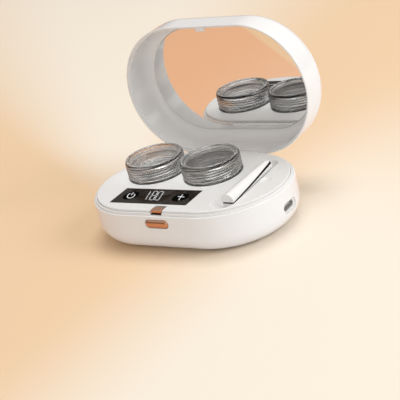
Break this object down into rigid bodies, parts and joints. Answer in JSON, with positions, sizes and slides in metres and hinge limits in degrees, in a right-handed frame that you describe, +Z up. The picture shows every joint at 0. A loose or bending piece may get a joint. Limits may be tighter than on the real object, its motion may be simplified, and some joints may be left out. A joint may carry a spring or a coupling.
{
  "type": "contact lens cleaner",
  "caption": "Oval battery-powered ultrasonic contact lens cleaner with mirror lid, screw-capped lens jars, display, latch and tweezers.",
  "frame": {"origin": "centre of the foot pad's underside", "axes": "+X along the long side towards the charging port, +Y towards the hinge, +Z up"},
  "size_m": [0.108, 0.0931, 0.0904],
  "materials": {
    "white_shell": "glossy white moulded plastic",
    "white_deck": "satin white moulded plastic",
    "rose_gold": "rose-gold plating on plastic",
    "rose_gold_print": "satin rose-gold inlay",
    "lid_mirror": "silvered mirror",
    "smoke_clear": "smoke-tinted clear plastic",
    "dark_glass": "dark tinted display window",
    "key_black": "black touch area",
    "lit_figures": "lit white figures",
    "module_white": "matt white plastic",
    "board_green": "green laminate with solder mask",
    "steel": "brushed stainless steel",
    "piezo_ceramic": "silvered piezo ceramic",
    "soft_silicone": "soft translucent silicone",
    "foot_rubber": "grey rubber",
    "foam_tape": "foam tape",
    "cell_wrap": "silver pouch wrap",
    "tool_white": "glossy white plastic"
  },
  "bodies": {
    "base": {"base_shell": "white_shell", "foot_pad": "foot_rubber", "deck_screws": "steel", "deck_panel": "white_deck", "display_window": "dark_glass", "power_touch_pad": "key_black", "timer_touch_pad": "key_black", "display_digits": "lit_figures", "display_module": "module_white", "display_board": "board_green", "latch_spring": "steel", "hinge_pin": "steel", "main_board": "board_green", "board_screws": "steel", "usb_socket": "steel", "battery": "cell_wrap", "plate_gasket_left": "soft_silicone", "vibration_plate_left": "steel", "transducer_left": "piezo_ceramic", "plate_gasket_right": "soft_silicone", "vibration_plate_right": "steel", "transducer_right": "piezo_ceramic"},
    "lid": {"lid_shell": "white_shell", "lid_ring": "rose_gold_print", "lid_top_panel": "white_shell", "mirror": "lid_mirror", "mirror_adhesive": "foam_tape"},
    "latch": {"latch_button": "rose_gold", "latch_hook": "rose_gold"},
    "tweezers": {"tweezers_body": "tool_white"},
    "tweezers_jaw": {"tweezers_arm": "tool_white"},
    "jar_left": {"jar_cup_left": "smoke_clear"},
    "seal_left": {"jar_seal_left": "soft_silicone"},
    "cap_left": {"jar_cap_left": "smoke_clear"},
    "jar_right": {"jar_cup_right": "smoke_clear"},
    "seal_right": {"jar_seal_right": "soft_silicone"},
    "cap_right": {"jar_cap_right": "smoke_clear"}
  },
  "joints": [
    {"name": "lid_hinge", "type": "hinge", "parent": "base", "child": "lid", "pos_m": [0, 0.0353, 0.0204], "axis": [1, 0, 0], "range_deg": [0, 90.6]},
    {"name": "latch_press", "type": "slide", "parent": "base", "child": "latch", "axis": [0, 1, 0], "range_m": [0, 0.0012], "stiffness_N_per_m": 300, "springref_m": -0.001, "deforming": ["latch_spring"]},
    {"name": "tweezers_lift", "type": "slide", "parent": "base", "child": "tweezers", "axis": [0, 0, -1], "range_m": [-0.012, 0]},
    {"name": "tweezers_squeeze", "type": "hinge", "parent": "tweezers", "child": "tweezers_jaw", "pos_m": [0.0342, 0.0141, 0.0235], "axis": [-1, 0, 0], "range_deg": [0, 1], "stiffness_Nm_per_rad": 0.05},
    {"name": "jar_lift_left", "type": "slide", "parent": "base", "child": "jar_left", "axis": [0, 0, -1], "range_m": [-0.014, 0]},
    {"name": "cap_rise_left", "type": "slide", "parent": "jar_left", "child": "seal_left", "axis": [0, 0, 1], "range_m": [0, 0.00305]},
    {"name": "cap_turn_left", "type": "hinge", "parent": "seal_left", "child": "cap_left", "pos_m": [-0.02575, 0.0082, 0.029], "axis": [0, 0, 1], "range_deg": [0, 270]},
    {"name": "jar_lift_right", "type": "slide", "parent": "base", "child": "jar_right", "axis": [0, 0, -1], "range_m": [-0.014, 0]},
    {"name": "cap_rise_right", "type": "slide", "parent": "jar_right", "child": "seal_right", "axis": [0, 0, 1], "range_m": [0, 0.00305]},
    {"name": "cap_turn_right", "type": "hinge", "parent": "seal_right", "child": "cap_right", "pos_m": [0.00815, 0.0082, 0.029], "axis": [0, 0, 1], "range_deg": [0, 270]}
  ],
  "couplings": [
    {"joint": "cap_rise_left", "follows": "cap_turn_left", "m_per_rad": 0.00063662},
    {"joint": "cap_rise_right", "follows": "cap_turn_right", "m_per_rad": 0.00063662}
  ]
}
